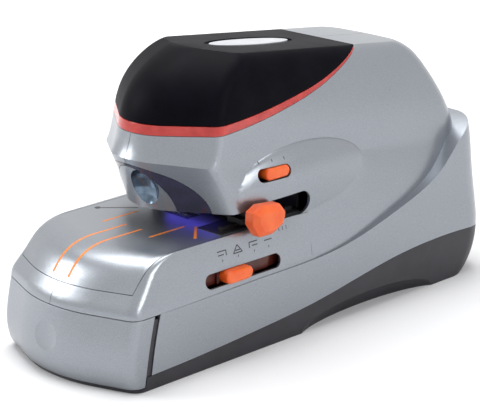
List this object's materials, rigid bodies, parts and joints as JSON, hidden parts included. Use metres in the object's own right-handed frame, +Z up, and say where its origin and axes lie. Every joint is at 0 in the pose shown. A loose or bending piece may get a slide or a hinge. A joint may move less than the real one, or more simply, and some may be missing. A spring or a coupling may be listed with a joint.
{
  "type": "electric desk stapler",
  "caption": "Heavy-duty electric desk stapler with an open paper throat, pull-out staple cartridge, clippings drawer, depth stop and domed button cap.",
  "frame": {"origin": "on the desk plane under the centre of the machine, on the seam of its shells", "axes": "+Z up, nose and throat towards -Y, controls on the +X side"},
  "size_m": [0.1671, 0.4382, 0.2313],
  "materials": {
    "silver_paint": "satin metallic paint",
    "deck_paint": "satin metallic paint",
    "soft_black": "soft-touch matt",
    "base_plastic": "fine matt grain",
    "ring_red": "translucent",
    "orange_plastic": "satin",
    "guide_orange": "satin",
    "button_silver": "satin",
    "lens_violet": "translucent",
    "liner_black": "matt",
    "led_lens": "clear",
    "inner_black": "matt",
    "foot_rubber": "matt",
    "zinc_plate": "zinc plated",
    "tool_steel": "ground",
    "gear_steel": "machined",
    "bush_bronze": "sintered",
    "spring_steel": "oiled",
    "staple_wire": "bright",
    "motor_case": "zinc plated",
    "board_green": "solder resist"
  },
  "bodies": {
    "body": {"base_tray": "base_plastic", "rubber_feet": "foot_rubber", "shell_right": "silver_paint", "shell_left": "silver_paint", "deck_cover": "deck_paint", "guide_lines": "guide_orange", "cap": "soft_black", "light_ring": "ring_red", "button_carrier": "inner_black", "button_spring": "spring_steel", "button_switch": "inner_black", "window_lens": "lens_violet", "throat_liner": "liner_black", "led_strip": "led_lens", "frame_plate_right": "zinc_plate", "frame_plate_left": "zinc_plate", "frame_crossbars": "zinc_plate", "shaft_bushes": "bush_bronze", "idler_stub": "gear_steel", "drive_motor": "motor_case", "ram_guide": "tool_steel", "ram_return_springs": "spring_steel", "arm_pin": "gear_steel", "link_guide": "zinc_plate", "depth_rail": "zinc_plate", "selector_track": "inner_black", "mode_switch": "inner_black", "power_inlet": "inner_black", "switch_housing": "inner_black", "control_board": "board_green", "board_standoffs": "zinc_plate", "power_supply": "inner_black", "frame_screws": "zinc_plate", "shell_screws": "zinc_plate"},
    "cam": {"cam_shaft": "gear_steel", "drive_cam": "tool_steel", "cam_gear": "gear_steel"},
    "idler": {"idler_gear": "gear_steel"},
    "motor_rotor": {"motor_pinion": "gear_steel", "motor_shaft": "gear_steel"},
    "ram": {"ram": "tool_steel", "driver_blade": "tool_steel"},
    "clincher": {"clincher_arm": "zinc_plate", "anvil": "tool_steel"},
    "lift_link": {"lift_link": "zinc_plate"},
    "cartridge": {"cartridge_front": "silver_paint", "cartridge_body": "inner_black", "staple_strip": "staple_wire", "pusher_spring": "spring_steel"},
    "pusher": {"staple_pusher": "inner_black"},
    "drawer": {"drawer_front": "silver_paint", "drawer_tray": "inner_black"},
    "depth_stop": {"depth_knob": "orange_plastic", "depth_backstop": "inner_black"},
    "selector": {"selector_slide": "orange_plastic"},
    "mode_key": {"mode_slide": "orange_plastic"},
    "staple_key": {"staple_button": "button_silver"},
    "power_rocker": {"power_switch": "inner_black"},
    "paper_flag": {"paper_flag": "inner_black"}
  },
  "joints": [
    {"name": "cam_turn", "type": "hinge", "parent": "body", "child": "cam", "pos_m": [0, -0.08, 0.182], "axis": [-1, 0, 0], "range_deg": [0, 180]},
    {"name": "idler_turn", "type": "hinge", "parent": "body", "child": "idler", "pos_m": [0, -0.04136, 0.17165], "axis": [-1, 0, 0], "range_deg": [-260, 20]},
    {"name": "motor_turn", "type": "hinge", "parent": "body", "child": "motor_rotor", "pos_m": [0, -0.01787, 0.1631], "axis": [-1, 0, 0], "range_deg": [-20, 600]},
    {"name": "ram_slide", "type": "slide", "parent": "body", "child": "ram", "axis": [0, 0, -1], "range_m": [0, 0.0131], "deforming": ["ram_return_springs"]},
    {"name": "clincher_lift", "type": "hinge", "parent": "body", "child": "clincher", "pos_m": [0, 0.04, 0.076], "axis": [-1, 0, 0], "range_deg": [0, 2.9]},
    {"name": "link_slide", "type": "slide", "parent": "body", "child": "lift_link", "axis": [0, 0, 1], "range_m": [0, 0.0015]},
    {"name": "cartridge_slide", "type": "slide", "parent": "body", "child": "cartridge", "axis": [0, -1, 0], "range_m": [0, 0.11]},
    {"name": "pusher_slide", "type": "slide", "parent": "cartridge", "child": "pusher", "axis": [0, 1, 0], "range_m": [0, 0.012], "stiffness_N_per_m": 60, "springref_m": -0.02, "deforming": ["pusher_spring"]},
    {"name": "drawer_slide", "type": "slide", "parent": "body", "child": "drawer", "axis": [0, -1, 0], "range_m": [0, 0.08]},
    {"name": "depth_slide", "type": "slide", "parent": "body", "child": "depth_stop", "axis": [0, 1, 0], "range_m": [-0.003, 0.03]},
    {"name": "selector_slide", "type": "slide", "parent": "body", "child": "selector", "axis": [0, 1, 0], "range_m": [-0.014, 0.032]},
    {"name": "mode_slide", "type": "slide", "parent": "body", "child": "mode_key", "axis": [0, -1, 0], "range_m": [0, 0.006]},
    {"name": "key_press", "type": "slide", "parent": "body", "child": "staple_key", "axis": [0, -0.1075, -0.9942], "range_m": [0, 0.003], "stiffness_N_per_m": 300, "springref_m": -0.002, "deforming": ["button_spring"]},
    {"name": "rocker_tilt", "type": "hinge", "parent": "body", "child": "power_rocker", "pos_m": [0.026, 0.206, 0.024], "axis": [1, 0, 0], "range_deg": [0, 16]},
    {"name": "flag_swing", "type": "hinge", "parent": "body", "child": "paper_flag", "pos_m": [0, -0.004, 0.118], "axis": [1, 0, 0], "range_deg": [0, 25], "stiffness_Nm_per_rad": 0.002, "springref_deg": -17.19}
  ],
  "couplings": [
    {"joint": "idler_turn", "follows": "cam_turn", "ratio": -1.2857},
    {"joint": "motor_turn", "follows": "cam_turn", "ratio": 3},
    {"joint": "ram_slide", "follows": "cam_turn", "m_per_rad": 0.004138},
    {"joint": "clincher_lift", "follows": "cam_turn", "ratio": 0.015922},
    {"joint": "link_slide", "follows": "cam_turn", "m_per_rad": 0.00046155}
  ]
}
